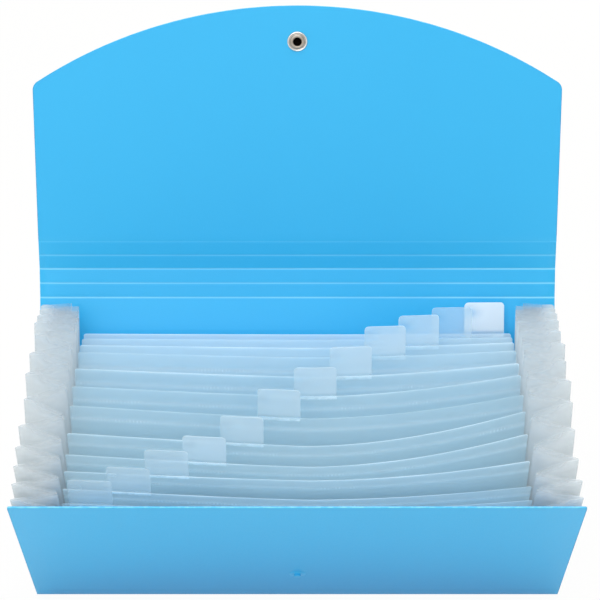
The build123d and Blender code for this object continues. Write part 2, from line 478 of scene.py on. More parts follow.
@dataclass(frozen=True)
class SheetFinish:
    """Sky-blue plastic sheet: fine matt grain, paler at cut edges and scored creases.

    A field that ends in scale counts lumps per metre, and so it does in the other finishes.
    """

    colour: Colour = (0.026, 0.435, 0.800)
    deep: Colour = (0.020, 0.408, 0.775)
    pale: Colour = (0.280, 0.740, 0.98)
    roughness: float = 0.42
    grain_rough: float = 0.16
    worn_gloss: float = 0.05
    edge_wear: float = 0.60
    cloud_scale: float = 9.0
    grain_scale: float = 1500.0
    scuff_scale: float = 260.0
    streak_scale: float = 11.0

    def material(self) -> bpy.types.Material:
        """Build the material.

        Returns:
            Blue sheet with slow clouds, worn edges and whitened creases, and a fine grain that
            roughens it.
        """
        material = bpy.data.materials.new("cover_sheet")
        graph = Graph(material)
        cloud = graph.noise(self.cloud_scale, 3.0, (1.0, 0.6, 0.6))
        grain = graph.noise(self.grain_scale)
        scuff = graph.ramp(graph.noise(self.scuff_scale, 3.0), [(0.42, 0.35), (0.62, 1.0)])
        drawn = graph.noise(self.streak_scale, 2.0, (1.0, 0.2, 0.2))
        streak = graph.ramp(drawn, [(0.36, 0.60), (0.62, 1.0)])
        worn = (graph.attribute("edge") * self.edge_wear * scuff + graph.attribute("score") * streak).capped()
        body = graph.blend(cloud, opaque(self.colour), opaque(self.deep))
        shader = graph.principled(
            {
                "Base Color": graph.blend(worn, body, opaque(self.pale)),
                "Roughness": self.roughness + (grain - 0.5) * self.grain_rough - worn * self.worn_gloss,
                "Normal": graph.bump(grain, strength=0.22, distance=0.00012),
                "Specular IOR Level": 0.45,
            }
        )
        graph.finish(shader)
        return material


@dataclass(frozen=True)
class FilmFinish:
    """Frosted clear film: part of the light goes straight through, the rest is scattered both ways."""

    use: FilmUse
    colour: Colour
    passed: Colour
    opacity: float
    hem_opacity: float
    rim_opacity: float
    # How white and glowing cut edges and top lips are made: a painted highlight.
    rim_highlight: float
    scattered_through: float
    roughness: float = 0.34
    glow: float = 0.34
    white: Colour = (0.96, 0.985, 1.0)
    glow_colour: Colour = (0.86, 0.95, 1.0)
    grain_rough: float = 0.2
    haze_share: float = 0.14
    seam_opacity: float = 0.24
    seam_white: float = 0.7
    bond_opacity: float = 0.6
    bond_glow: float = 0.36
    bond_whole: float = 0.6
    milk_opacity: float = 0.75
    dot_pitch: float = 1.7
    dot_width: float = 0.84
    haze_scale: float = 24.0
    grain_scale: float = 900.0
    patch_scale: float = 38.0
    broken_scale: float = 260.0
    shine_scale: float = 26.0

    def material(self) -> bpy.types.Material:
        """Build the material.

        Returns:
            Clear film that lets less through at its cut edges, seams and welds. Seams are the white
            line of a weld, welds are partly white and partly a painted glint, and cut edges and top lips
            are whitened as a painted highlight. Edges and welds carry a painted glow, for the light that
            real film leads to them, and the milky value also carries painted light in places.
        """
        material = bpy.data.materials.new(self.use.value)
        graph = Graph(material)
        haze = graph.noise(self.haze_scale, 3.0)
        grain = graph.noise(self.grain_scale)
        patch = graph.ramp(graph.noise(self.patch_scale), [(0.50, 0.0), (0.68, 1.0)])
        broken = graph.ramp(graph.noise(self.broken_scale), [(0.42, 0.0), (0.58, 1.0)])
        shine = graph.ramp(graph.noise(self.shine_scale), [(0.38, 0.60), (0.60, 1.0)])
        dot = abs(graph.attribute("across") % self.dot_pitch - self.dot_pitch / 2) < self.dot_width / 2
        line = graph.attribute("seam")
        seam = line + line * line * line * line * dot * patch * broken
        bond = graph.attribute("bond") * (self.bond_whole + (1.0 - self.bond_whole) * broken)
        # Painted highlight: cut edges and the dividers' top lips are whiter, more opaque and glowing, broken
        # up by noise.
        rim = (graph.attribute("edge") + graph.attribute("fold")).capped() * shine
        # Milky film, which also carries painted light: a glare on the last tab, whiter rear dividers and
        # lightened depths in the gussets.
        milk = graph.attribute("milk")
        frosted = self.opacity + (haze - 0.5) * self.haze_share * self.opacity
        solid = frosted * (1.0 - graph.attribute("clear"))
        solid = solid + (self.hem_opacity - self.opacity) * graph.attribute("hem")
        solid = solid + (self.rim_opacity - self.opacity) * rim
        solid = solid + seam * self.seam_opacity + bond * self.bond_opacity + milk * self.milk_opacity
        pale = (rim * self.rim_highlight + seam * self.seam_white + bond + milk).capped()
        # Painted glow: edges and welds give off light, though they are no lamp.
        lit = (rim * self.rim_highlight + bond * self.bond_glow).capped()
        front = graph.principled(
            {
                "Base Color": graph.blend(pale, opaque(self.colour), opaque(self.white)),
                "Roughness": self.roughness + (grain - 0.5) * self.grain_rough,
                "Normal": graph.bump(grain + haze * 3.0, strength=0.18, distance=0.0002),
                "Specular IOR Level": 0.8,
                "Emission Color": graph.blend(lit, BLACK, opaque(self.glow_colour)),
                "Emission Strength": self.glow,
            }
        )
        through = graph.node("ShaderNodeBsdfTranslucent", {}, {"Color": opaque(self.passed)})
        film = graph.mixed(self.scattered_through, front, through)
        clear = graph.node("ShaderNodeBsdfTransparent", {}, {})
        graph.finish(graph.mixed(solid.capped(), clear, film))
        return material


@dataclass(frozen=True)
class MetalFinish:
    """Nickel-plated pressed metal, brushed by handling, with a ring dimmed by tarnish and painted shade, and
    a well painted black as the shade inside the hole.
    """

    colour: Colour = (0.80, 0.82, 0.83)
    tarnish_and_shade_colour: Colour = (0.40, 0.345, 0.29)
    well_shade_colour: Colour = (0.010, 0.008, 0.007)
    roughness: float = 0.24
    scratch_rough: float = 0.18
    tarnish_and_shade_rough: float = 0.28
    well_rough: float = 0.4
    scratch_scale: float = 2600.0
    tarnish_scale: float = 420.0

    def material(self) -> bpy.types.Material:
        """Build the material.

        Returns:
            Bright metal with fine scratches, a ring dimmed by tarnish and by painted shade that tones down
            its reflections, and a rough well painted black as shade.
        """
        material = bpy.data.materials.new("snap_metal")
        graph = Graph(material)
        scratch = graph.noise(self.scratch_scale, 3.0, (1.0, 0.25, 0.25))
        tarnish = graph.ramp(graph.noise(self.tarnish_scale), [(0.45, 0.0), (0.80, 0.25)])
        # Painted shade: the value "well" makes the hole black and rough, as the shade inside it.
        well = graph.attribute("well")
        # Painted shade: the value "shade" dims the ring's reflections and shades its outer edge; the noise is
        # real tarnish.
        tarnish_and_shade = (graph.attribute("shade") + tarnish).capped()
        plated = graph.blend(tarnish_and_shade, opaque(self.colour), opaque(self.tarnish_and_shade_colour))
        worn = self.roughness + (scratch - 0.5) * self.scratch_rough
        shader = graph.principled(
            {
                "Base Color": graph.blend(well, plated, opaque(self.well_shade_colour)),
                "Metallic": 1.0,
                "Roughness": worn + tarnish_and_shade * self.tarnish_and_shade_rough + well * self.well_rough,
                "Normal": graph.bump(scratch, strength=0.10, distance=0.00005),
            }
        )
        graph.finish(shader)
        return material


@dataclass(frozen=True)
class StudFinish:
    """Moulded plastic in the cover's colour, a little glossier than the sheet."""

    colour: Colour = (0.026, 0.435, 0.800)
    pale: Colour = (0.06, 0.52, 0.88)
    roughness: float = 0.40
    grain_rough: float = 0.12
    flow_share: float = 0.3
    flow_scale: float = 500.0
    grain_scale: float = 2400.0

    def material(self) -> bpy.types.Material:
        """Build the material.

        Returns:
            Blue plastic with faint flow marks and a fine grain.
        """
        material = bpy.data.materials.new("stud_plastic")
        graph = Graph(material)
        flow = graph.noise(self.flow_scale, 2.0, (1.0, 0.4, 0.4))
        grain = graph.noise(self.grain_scale)
        shader = graph.principled(
            {
                "Base Color": graph.blend(flow * self.flow_share, opaque(self.colour), opaque(self.pale)),
                "Roughness": self.roughness + (grain - 0.5) * self.grain_rough,
                "Normal": graph.bump(grain, strength=0.12, distance=0.00005),
            }
        )
        graph.finish(shader)
        return material


# Sheets and films of the folder


@dataclass(frozen=True)
class Leaf:
    """A flat sheet on a hinge line across the folder."""

    y: float
    z: float
    lean: float

    def place(self, across: Array, rise: Array, forward: Array | float = 0.0) -> Array:
        """Place points of the sheet.

        A point is the hinge plus rise along the sheet plus forward along its normal, which points
        to the front of the folder.

        Args:
            across: Places across the folder.
            rise: Heights up the sheet.
            forward: Distances to the front of the sheet.

        Returns:
            Points with a last axis of three.
        """
        tilt = radians(self.lean)
        y = self.y + rise * sin(tilt) - forward * cos(tilt)
        z = self.z + rise * cos(tilt) + forward * sin(tilt)
        return np.stack(np.broadcast_arrays(across, y, z), axis=-1)

    def forward(self) -> Array:
        """Return the direction to the front of the sheet."""
        tilt = radians(self.lean)
        return np.array([0.0, -cos(tilt), sin(tilt)])

    def above(self, rise: float, bend: float) -> Leaf:
        """Return the sheet that stands on this one's upper edge, bent to the front."""
        tilt = radians(self.lean)
        return Leaf(self.y + rise * sin(tilt), self.z + rise * cos(tilt), self.lean - bend)


def corner_columns(half: float, corner: float, inner: int, steps: int = 7) -> Array:
    """Spread columns across a sheet, close together in its rounded corners.

    Args:
        half: Half the width.
        corner: Radius of the corners.
        inner: Count of columns between the corners.
        steps: Count of columns in each corner.

    Returns:
        Places across, from left to right.
    """
    arc = half - corner + corner * np.sin(np.radians(np.linspace(0.0, 90.0, steps)))
    flat = np.linspace(-(half - corner), half - corner, inner)
    return np.concatenate([-arc[:0:-1], flat, arc[1:]])


def crease_rows(height: float, inner: int, groove: float) -> Array:
    """Spread rows up a sheet with a few close to its two long edges.

    Args:
        height: The sheet's height.
        inner: Count of rows from groove to groove.
        groove: Width of the groove along each long edge.

    Returns:
        The rows as shares of the height, from 0 to 1.
    """
    near = np.array([0.0, 0.4, 0.75, 1.0]) * groove
    between = np.linspace(groove, height - groove, inner)[1:-1]
    return np.concatenate([near, between, height - near[::-1]]) / height


@dataclass
class Cover:
    """The cover: base, two panels, four narrow strips and the flap, joined at scored creases."""

    width: float = 260.0
    sheet: float = 0.9
    base_depth: float = 26.0
    back_height: float = 139.0
    front_height: float = 138.0
    panel_corner: float = 1.5
    strip: float = 7.3958
    flap_side: float = 80.8
    flap_tip: float = 120.4
    flap_corner: float = 5.0
    front_lean: float = -46.0
    back_lean: float = 16.7
    bends: tuple[float, ...] = (5.7, 1.0, 12.0, 0.0, -3.6)
    groove: float = 0.7
    web: float = 0.82
    rim: float = 0.25
    reach: float = 0.22
    base_whitening: float = 0.25
    whitening: tuple[float, ...] = (0.9, 0.65, 0.9, 0.35, 0.10)

    def front_leaf(self) -> Leaf:
        """Return the front panel's sheet."""
        return Leaf(-self.base_depth / 2, self.sheet / 2, self.front_lean)

    def back_leaf(self) -> Leaf:
        """Return the back panel's sheet."""
        return Leaf(self.base_depth / 2, self.sheet / 2, self.back_lean)

    def strip_leaves(self) -> list[Leaf]:
        """Stack the strips and the flap on the back panel.

        Returns:
            The sheets of the four strips and of the flap, from the back panel up.
        """
        leaves = [self.back_leaf().above(self.back_height, self.bends[0])]
        for bend in self.bends[1:]:
            leaves.append(leaves[-1].above(self.strip, bend))
        return leaves

    def arch(self, across: Array) -> Array:
        """Return the flap's upper edge: a circle's arch, with a smaller circle in each corner.

        Args:
            across: Places across the flap.

        Returns:
            The height of the edge above the flap's crease.
        """
        half = self.width / 2
        sagitta = self.flap_tip - self.flap_side
        radius = (half**2 + sagitta**2) / (2 * sagitta)
        middle = self.flap_tip - radius
        inset = half - self.flap_corner
        corner_middle = middle + sqrt((radius - self.flap_corner) ** 2 - inset**2)
        tangent = inset * radius / (radius - self.flap_corner)
        out = np.abs(across)
        arch = middle + np.sqrt(radius**2 - out**2)
        corner = corner_middle + np.sqrt(np.maximum(self.flap_corner**2 - (out - inset) ** 2, 0.0))
        return np.where(out <= tangent, arch, corner)

    def scored(self, rise: Array, top: Array, low: float | None, high: float | None) -> tuple[Array, Array]:
        """Thin a sheet towards its scored edges.

        Within a groove's width of a scored edge the thickness falls evenly from the sheet's to the
        web's, and the crease whitening rises from 0 to its strength.

        Args:
            rise: Heights of the grid points.
            top: Height of the upper edge at each of them.
            low: Whitening at the lower edge, or None where it isn't scored.
            high: Whitening at the upper edge, or None where it isn't scored.

        Returns:
            The thickness and the whitening at each grid point.
        """
        thickness = np.full(rise.shape, self.sheet)
        white = np.zeros(rise.shape)
        for distance, strength in ((rise, low), (top - rise, high)):
            if strength is not None:
                share = np.clip(distance / self.groove, 0.0, 1.0)
                thickness = np.minimum(thickness, self.web + (self.sheet - self.web) * share)
                white = np.maximum(white, strength * (1.0 - share))
        return thickness, white

    def panel(
        self, leaf: Leaf, across: Array, top: Array, rows: Array, low: float | None, high: float | None
    ) -> Surface:
        """Build one sheet of the cover.

        The middle surface is flat: a grid of places across by shares of the height of its upper edge.
        At a crease its rounded rim reaches into the next sheet, so that the two faces nearly meet.

        Args:
            leaf: The sheet's place.
            across: Places of its columns.
            top: Height of its upper edge at each column.
            rows: Heights of its rows as shares of the upper edge.
            low: Whitening at the lower crease, or None.
            high: Whitening at the upper crease, or None.

        Returns:
            The closed sheet.
        """
        rise = top[:, None] * rows[None, :]
        rise[:, 0] -= 0.0 if low is None else self.reach
        rise[:, -1] += 0.0 if high is None else self.reach
        middle = leaf.place(across[:, None], rise)
        thickness, white = self.scored(rise, np.broadcast_to(top[:, None], rise.shape), low, high)
        return thick_sheet(middle, thickness, self.rim, {"score": white})

    def build(self, material: bpy.types.Material) -> None:
        """Build the panels, strips and flap and put them on their bodies.

        Args:
            material: The sheet's material.
        """
        half = self.width / 2
        slot = "cover_sheet"
        plain = np.linspace(-half, half, 61)
        rounded = corner_columns(half, self.panel_corner, 55)
        front_top = self.front_height - corner_drop(rounded, half, self.panel_corner)
        rows = crease_rows(self.front_height, 26, self.groove)
        front = self.panel(self.front_leaf(), rounded, front_top, rows, self.base_whitening, None)
        place_piece("front_sheet", front, material, Placement("front_cover", ("front_panel",), slot))
        back_top = np.full(plain.shape, self.back_height)
        rows = crease_rows(self.back_height, 26, self.groove)
        back = self.panel(self.back_leaf(), plain, back_top, rows, self.base_whitening, self.whitening[0])
        place_piece("back_sheet", back, material, Placement("back_cover", ("back_panel",), slot))
        leaves = self.strip_leaves()
        strip_top = np.full(plain.shape, self.strip)
        rows = crease_rows(self.strip, 6, self.groove)
        for number, leaf in enumerate(leaves[:-1], start=1):
            low, high = self.whitening[number - 1], self.whitening[number]
            surface = self.panel(leaf, plain, strip_top, rows, low, high)
            placement = Placement(f"strip_{number}", (f"flap_strip_{number}",), slot)
            place_piece(f"strip_sheet_{number}", surface, material, placement)
        columns = corner_columns(half, self.flap_corner * 0.5, 61, 12)
        rows = crease_rows(self.flap_tip, 30, self.groove)
        lid = self.panel(leaves[-1], columns, self.arch(columns), rows, self.whitening[-1], None)
        place_piece("flap_sheet", lid, material, Placement("flap_cover", ("flap",), slot))


def follow_arc(foot_y: Array, foot_z: Array, lean: Array, curl: Array, rise: Array) -> tuple[Array, Array]:
    """Follow a film up from its foot, with a lean that changes evenly with height.

    The lean at a height is lean + curl * rise, so the film is an arc of a circle: y gains the
    running sum of the lean's sine, (cos(start) - cos(end)) / rate, and z that of its cosine.

    Args:
        foot_y: Place of the foot.
        foot_z: Height of the foot.
        lean: Lean at the foot.
        curl: Change of the lean for each millimetre of height.
        rise: Heights up the film.

    Returns:
        The places y and z.
    """
    start = np.radians(lean)
    rate = np.radians(curl)
    rate = np.where(np.abs(rate) < 1e-6, 1e-6, rate)
    end = start + rate * rise
    return foot_y + (np.cos(start) - np.cos(end)) / rate, foot_z + (np.sin(end) - np.sin(start)) / rate


@dataclass(frozen=True)
class Film:
    """One divider's film: its foot, its lean in the frame, and how it leans at its ends and middle.

    The middle's lean holds at turn_x across, and goes to each end's by that end's power.
    """

    y: float
    z: float
    lean: float
    left: float
    middle: float
    right: float
    curl: float
    turn_x: float = 5.0
    left_power: float = 1.25
    right_power: float = 1.85

    @classmethod
    def straight(cls, y: float, z: float, lean: float, curl: float) -> Film:
        """Return a film that has one lean from end to end."""
        return cls(y, z, lean, lean, lean, lean, curl)

    def lean_at(self, across: Array, half: float) -> Array:
        """Return the lean at places across, eased from the middle's to each end's by a power curve.

        Args:
            across: Places across the film.
            half: Half the film's width.

        Returns:
            The mean lean at each place.
        """
        out = across - self.turn_x
        to_left = np.clip(-out / (half + self.turn_x), 0.0, 1.0) ** self.left_power
        to_right = np.clip(out / (half - self.turn_x), 0.0, 1.0) ** self.right_power
        return self.middle + (self.left - self.middle) * to_left + (self.right - self.middle) * to_right

    def arc(self, across: Array, rise: Array, half: float, height: float) -> tuple[Array, Array]:
        """Return the places y and z of the film at places across and heights up it."""
        foot_lean = self.lean_at(across, half) - self.curl / 2
        return follow_arc(np.array(self.y), np.array(self.z), foot_lean, np.array(self.curl / height), rise)

    def flatten(self, piece: bpy.types.Object) -> None:
        """Give a piece its own copy of its mesh.

        Args:
            piece: The divider, or a piece that it carries.
        """
        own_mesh(piece)


@dataclass
class Pockets:
    """The twelve dividers with their tabs, and the pleated gussets at both sides.

    A field with twelve numbers has one for each divider, from the front. Names with lip tell how
    the dividers' top edges shine, those with touch where a tab's two layers touch, and those with
    soft how a gusset clears along its top.
    """

    cover: Cover
    shares: tuple[float, ...] = (
        0.043, 0.086, 0.129, 0.182, 0.254, 0.345, 0.447, 0.555, 0.665, 0.770, 0.860, 0.935
    )
    lefts: tuple[float, ...] = (-43.6, -40.6, -36.8, -33.0, -27.7, -19.9, -13.8, -7.1, 0.9, 4.8, 9.2, 13.8)
    middles: tuple[float, ...] = (
        -45.2, -43.2, -39.1, -36.2, -31.3, -24.0, -17.5, -10.8, -2.4, 2.6, 7.9, 12.6
    )
    rights: tuple[float, ...] = (-42.8, -40.0, -34.2, -27.4, -21.2, -16.2, -9.2, -4.4, 1.9, 7.0, 10.8, 14.2)
    curl_share: float = 0.09
    foot_z: float = 2.0
    half_width: float = 107.3
    height: float = 120.55
    film: float = 0.3
    film_rim: float = 0.15
    corner: float = 1.2
    hem: float = 7.8
    hem_seam: float = 1.5
    tab_weld: float = 1.2
    tab_weld_width: float = 1.0
    # How white each tab's weld is: partly the weld's own white line, partly a painted glint.
    weld_white_and_glint: tuple[float, ...] = (0.6, 1.0, 0.9, 1.0, 0.75, 0.9, 0.8, 0.45, 0.2, 0.2, 0.1, 0.3)
    lip: float = 0.8
    lip_depth: float = 5.0
    # Painted highlight on each divider's top edge, at its left end and at its right end.
    lip_left: tuple[float, ...] = (0.30, 1.0, 0.65, 0.50, 0.85, 0.25, 0.20, 0.50, 0.20, 0.45, 0.15, 0.30)
    lip_right: tuple[float, ...] = (0.20, 0.15, 0.85, 0.70, 0.45, 0.12, 0.55, 1.0, 0.40, 0.60, 0.15, 0.30)
    # Painted light: the rear dividers, which face the top light, are made whiter and more opaque towards the
    # back.
    rear_painted_light: tuple[float, ...] = (0.07, 0.17, 0.30, 0.40)
    tab_film: float = 0.4
    tab_puff: float = 0.5
    tab_bulge: float = 0.2
    tab_gap: float = 0.1
    tab_width: float = 20.0
    tab_rise: float = 15.8
    tab_lap: float = 4.0
    tab_corner: float = 2.0
    tab_spread: float = 187.6
    tab_bend: float = 3.0
    # How milky each tab is; the last tab's full value is a painted glare.
    tab_milk_and_glare: tuple[float, ...] = (0.05, 0.07, 0.12, 0.28, 0.2, 0.18, 0.22, 0.28, 0.35, 0.3, 0.08, 1.0)
    tab_milk_start: float = 2.0
    # Painted highlight on each tab's outline.
    tab_rim: tuple[float, ...] = (0.10, 0.20, 0.60, 0.60, 0.90, 0.30, 0.60, 0.60, 0.80, 0.90, 0.40, 0.40)
    tab_side_rim: float = 0.3
    touch_across: float = 0.12
    touch_up: float = 0.74
    touch_width: float = 0.22
    touch_height: float = 0.13
    touch_clear: float = 0.7
    fold_x: float = 108.3
    fold_round: float = 0.03
    rear_folds: tuple[float, ...] = (108.3, 108.6, 109.6, 115.5)
    rear_clear: tuple[float, ...] = (0.0, 0.2, 0.5, 0.5)
    clear_core: float = 0.3
    clear_width: float = 9.0
    pleat: float = 21.3
    pleat_film: float = 0.25
    pleat_rim: float = 0.12
    pleat_belly: float = 0.04
    pleat_foot: float = 3.0
    pleat_top: float = 134.45
    pleat_end_top: float = 136.0
    pleat_corner: float = 0.8
    # Painted light that lightens the pleats away from their top edge, where shade falls between them.
    pleat_painted_light: float = 0.34
    flange: float = 1.2
    soft_top: float = 14.0
    soft_clear: float = 0.65
    soft_inset: float = 3.0
    soft_blend: float = 6.0

    def films(self) -> list[Film]:
        """Spread the dividers' feet over the base and give each its leans.

        Returns:
            The dividers' films, from the front.
        """
        cover = self.cover
        pitch = cover.base_depth / (len(self.shares) + 1)
        spread = cover.back_lean - cover.front_lean
        films = []
        for place, share in enumerate(self.shares):
            lean = cover.front_lean + spread * share
            y = -cover.base_depth / 2 + pitch * (place + 1)
            ends = (self.lefts[place], self.middles[place], self.rights[place])
            films.append(Film(y, self.foot_z, lean, *ends, -lean * self.curl_share))
        return films

    def divider(
        self, film: Film, centre: float, milk: float, ends: tuple[float, float], weld: float
    ) -> Surface:
        """Build one divider.

        A point is the film's arc at its place across and its height, where the top edge has
        rounded corners. Three marks lie below the top edge. The lip's value falls off as
        exp(-depth / lip), and goes evenly from the left end's shine to the right end's. The tab's
        weld has a value that is highest on its line and falls evenly to 0. The hem's seam falls off
        as a bell curve.

        Args:
            film: The divider's film.
            centre: Place of its tab's middle across the folder.
            milk: How milky its film is; on the rear dividers it is painted light that whitens them.
            ends: How much its top edge shines at the left end and at the right end.
            weld: How white the weld of its tab is, partly its own white line and partly a painted glint.

        Returns:
            The closed film.
        """
        # Two columns lie close together at each end of the tab's weld, so that it ends sharply.
        weld_ends = np.add.outer([-0.5, 0.5], [-0.02, 0.02]).ravel() * self.tab_width + centre
        across = np.sort(np.concatenate([corner_columns(self.half_width, self.corner, 64), weld_ends]))
        top = self.height - corner_drop(across, self.half_width, self.corner)
        seam_rows = self.hem + self.hem_seam * np.array([2.2, 1.5, 1.0, 0.5, 0.0, -0.5, -1.0, -1.5, -2.2])
        lip_rows = np.array([3.6, 2.8, 2.2, 1.6, 1.1, 0.7, 0.35, 0.0])
        close_rows = 1.0 - np.concatenate([seam_rows, lip_rows]) / self.height
        share = np.concatenate([np.linspace(0.0, 0.88, 20), close_rows])
        rise = top[:, None] * share[None, :]
        y, z = film.arc(across[:, None], rise, self.half_width, self.height)
        wide = np.broadcast_to(across[:, None], rise.shape)
        middle = np.stack([wide, y, z], axis=-1)
        depth = np.broadcast_to((1.0 - share) * self.height, rise.shape)
        at_tab = np.abs(wide - centre) < self.tab_width / 2
        from_weld = np.abs(depth - self.tab_weld) / self.tab_weld_width
        shine = np.interp(wide, [-self.half_width, self.half_width], ends)
        values = {
            "across": wide,
            "milk": np.full(rise.shape, milk),
            # The value "fold" is a painted highlight along the top lip.
            "fold": np.exp(-depth / self.lip) * (depth < self.lip_depth) * shine,
            "hem": np.clip((self.hem - depth) / self.hem_seam + 0.5, 0.0, 1.0),
            "seam": np.exp(-(((depth - self.hem) / self.hem_seam) ** 2)),
            # The tab's weld: its own white line, with painted glint and glow.
            "bond": np.clip(2.0 - 2.0 * from_weld, 0.0, 1.0) * at_tab * weld,
        }
        return thick_sheet(middle, np.full(rise.shape, self.film), self.film_rim, values, shine)

    def tab(self, film: Film, centre: float, milk: float, shine: float) -> Surface:
        """Build one tab, a flat folded sleeve behind its divider.

        The tab follows the divider's lean up to its top edge. Where that leans to the front, the tab
        eases over a short bend to half the lean. Its places are the running sums of the lean's sine
        and cosine. It is thickest in its middle, as sin(pi * u) * sin(pi * v). Its two layers touch,
        and are clear, in a round patch whose strength falls off as a bell curve. Its outline shines
        along the top and, by the tenth power of the height, less down the sides.

        Args:
            film: The divider's film.
            centre: Place of the tab's middle across the folder.
            milk: How milky the sleeve is where its layers don't touch; on the last tab it is a painted glare.
            shine: How much its outline shines.

        Returns:
            The closed sleeve.
        """
        across = corner_columns(self.tab_width / 2, self.tab_corner, 14)
        share = np.linspace(0.0, 1.0, 26)
        top = self.tab_lap + self.tab_rise - corner_drop(across, self.tab_width / 2, self.tab_corner)
        climb = top[:, None] * share[None, :]
        wide = np.broadcast_to(across[:, None] + centre, climb.shape)
        low = np.full(across.shape, self.height - self.tab_lap)
        y0, z0 = film.arc(across + centre, low, self.half_width, self.height)
        lean = (film.lean_at(across + centre, self.half_width) + film.curl / 2)[:, None]
        above = climb - self.tab_lap
        tilt = np.radians(lean - 0.5 * np.minimum(lean, 0.0) * eased(above / self.tab_bend))
        step = np.diff(climb, axis=1, prepend=0.0)
        behind = self.film / 2 + self.tab_film / 2 + self.tab_gap
        y = y0[:, None] + np.cumsum(np.sin(tilt) * step, axis=1) + behind * np.cos(tilt)
        z = z0[:, None] + np.cumsum(np.cos(tilt) * step, axis=1) - behind * np.sin(tilt)
        middle = np.stack([wide, y, z], axis=-1)
        u = (across / self.tab_width + 0.5)[:, None]
        v = share[None, :]
        thickness = self.tab_film + self.tab_puff * np.sin(np.pi * np.clip(u, 0.0, 1.0)) * np.sin(np.pi * v)
        from_touch = ((v - self.touch_up) / self.touch_height) ** 2
        from_touch = from_touch + ((u - self.touch_across) / self.touch_width) ** 2
        # Milkiness, and on the last tab a painted glare, cleared where the layers touch.
        milky = milk * (1.0 - self.touch_clear * np.exp(-from_touch))
        milky = milky * np.clip(above / self.tab_milk_start, 0.0, 1.0)
        # Painted highlight along the outline, strongest at the top.
        outline = shine * (self.tab_side_rim + (1.0 - self.tab_side_rim) * v**10)
        return thick_sheet(middle, thickness, self.tab_bulge, {"milk": milky}, outline)

    def fold_line(self, film: Film, lean: float, side: Side, x: Array, share: Array, top: float) -> Array:
        """Return a line up a fold.

        Args:
            film: A film whose foot and curl the fold takes.
            lean: The fold's mean lean.
            side: The side of the folder.
            x: Distance from the middle of the folder, at each height.
            share: Heights as shares from the gusset's foot to its top.
            top: Height of the top.

        Returns:
            Points up the fold.
        """
        rise = self.pleat_foot + (top - self.pleat_foot) * share
        start = np.array(lean - film.curl / 2)
        curl = np.array(film.curl / self.height)
        y, z = follow_arc(np.array(film.y), np.array(film.z), start, curl, rise)
        return np.stack([side.value * x, y, z], axis=-1)

    def pleats(self, side: Side, share: Array) -> tuple[list[Array], list[Array]]:
        """Work out all folds of one side.

        An outer fold lies half way between two neighbours, and as far out as a pleat of fixed
        width reaches: sqrt(width^2 - half the distance between the inner folds^2). The last inner
        folds lie further out than the others.

        Args:
            side: The side of the folder.
            share: Heights as shares from foot to top.

        Returns:
            The inner folds, from the front panel to the back panel, and the outer folds between them.
        """
        front, back = self.cover.front_leaf(), self.cover.back_leaf()
        room = self.cover.sheet / 2 + self.pleat_film
        front_foot = front.place(0.0, 0.0, -room)
        back_foot = back.place(0.0, 0.0, room)
        first = Film.straight(front_foot[1], front_foot[2], front.lean, 0.0)
        last = Film.straight(back_foot[1], back_foot[2], back.lean, 0.0)
        fan = [first, *self.films(), last]
        leans = [film.left if side is Side.LEFT else film.right for film in fan]
        tops = [self.pleat_end_top, *[self.pleat_top] * len(self.shares), self.pleat_end_top]
        places = [self.fold_x] * (len(fan) - len(self.rear_folds)) + list(self.rear_folds)
        inner = []
        for film, lean, top, place in zip(fan, leans, tops, places):
            inner.append(self.fold_line(film, lean, side, np.full(share.shape, place), share, top))
        outer = []
        for place in range(len(fan) - 1):
            near, far = fan[place], fan[place + 1]
            lean = (leans[place] + leans[place + 1]) / 2
            top = (tops[place] + tops[place + 1]) / 2
            curl = (near.curl + far.curl) / 2
            between = Film.straight((near.y + far.y) / 2, (near.z + far.z) / 2, lean, curl)
            half_gap = np.linalg.norm((inner[place] - inner[place + 1])[:, 1:], axis=-1) / 2
            reach = self.fold_x + np.sqrt(np.maximum(self.pleat**2 - half_gap**2, 1.0))
            outer.append(self.fold_line(between, lean, side, reach, share, top))
        return inner, outer

    def fold(
        self, first: Array, middle: Array, last: Array, share: Array, side: Side, clear: float
    ) -> Surface:
        """Build a film that is folded once.

        With t from -1 to 1 across, the film is middle + w * ((1 - m) * (first - middle) + m * (last
        - middle)), where w is a hyperbola of t that rounds the fold and m turns smoothly from 0 to 1
        in it. Each half has a belly, a small share of the opening. The top corners are rounded: the
        film drops there by the corner's drop times the cube of the height's share.

        Args:
            first: Line of the film's one edge.
            middle: Line of the fold.
            last: Line of the other edge.
            share: Heights of the lines' points as shares from foot to top.
            side: The side of the folder, which sets the way that the faces look.
            clear: How much clearer the film is on the fold, where it isn't frosted.

        Returns:
            The closed film. Its value "clear" falls evenly from the fold to 0, and rises smoothly to
            the top edge where that lies well inside the outer edges. Its value "milk" is
            painted light that lightens the shade deep in the pleats: it falls to 0 at the top edge and
            is less on a clear fold.
        """
        flank = np.linspace(0.1, 1.0, 13)
        t = np.concatenate([-flank[::-1], np.linspace(-0.08, 0.08, 9), flank])
        root = np.sqrt(t**2 + self.fold_round**2)
        w = ((root - self.fold_round) / (sqrt(1 + self.fold_round**2) - self.fold_round))[:, None, None]
        m = ((1.0 + t / root) / 2)[:, None, None]
        belly = (self.pleat_belly * np.sign(t) * np.sin(np.pi * np.abs(t)))[:, None, None]
        points = middle + w * ((1 - m) * (first - middle) + m * (last - middle)) + belly * (last - first)
        drop = corner_drop(t * self.pleat, self.pleat, self.pleat_corner)
        up = unit(np.gradient(points, axis=1))
        points = points - up * (drop[:, None] * share[None, :] ** 3)[..., None]
        if side is Side.RIGHT:
            points = points[::-1]
        from_fold = np.abs(t) * self.pleat
        fade = (clear * np.clip(1.0 + self.clear_core - from_fold / self.clear_width, 0.0, 1.0))[:, None]
        inside = np.clip((self.pleat - from_fold - self.soft_inset) / self.soft_blend, 0.0, 1.0)[:, None]
